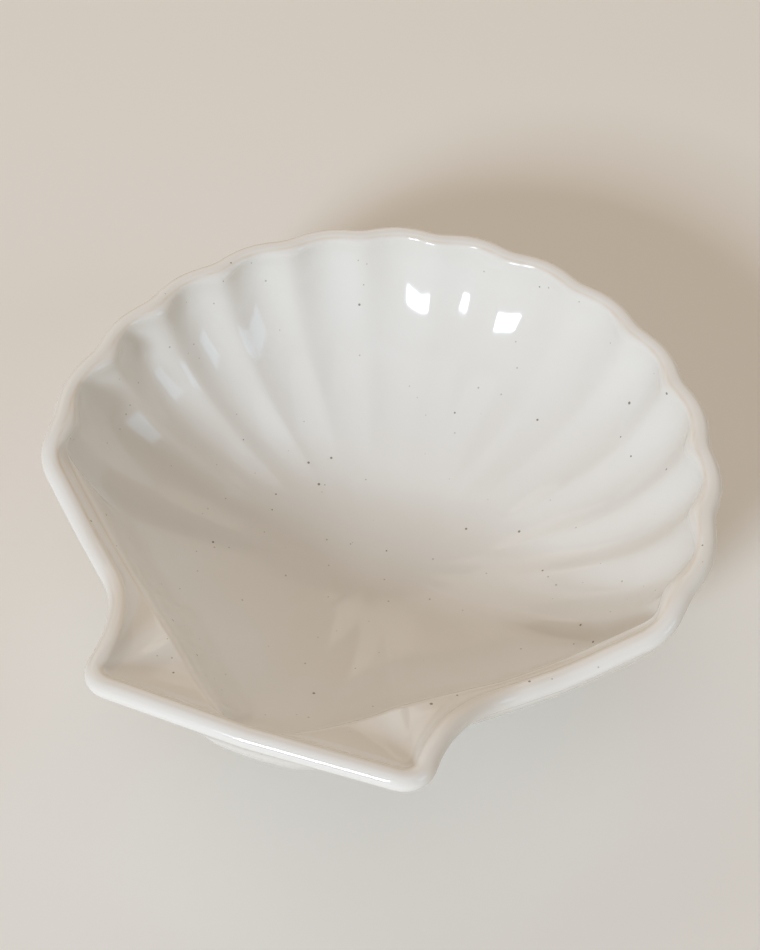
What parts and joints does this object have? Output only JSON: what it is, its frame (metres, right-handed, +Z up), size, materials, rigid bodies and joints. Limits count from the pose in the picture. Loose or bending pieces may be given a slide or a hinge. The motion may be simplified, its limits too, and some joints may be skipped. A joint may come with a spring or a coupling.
{
  "type": "scallop shell dish",
  "caption": "Scallop-shaped ceramic dish: a fluted bowl with a rolled, waved lip and two flat ears at the hinge, standing on a low foot ring.",
  "frame": {"origin": "on the table under the middle of the fan's circle, at the bottom centre of the dish's box", "axes": "+Z up from the table; +Y from the hinge to the fan; +X along the hinge"},
  "size_m": [0.15, 0.15, 0.0481],
  "materials": {
    "glaze": "gloss"
  },
  "bodies": {
    "root": {"shell_dish": "glaze"}
  },
  "joints": []
}
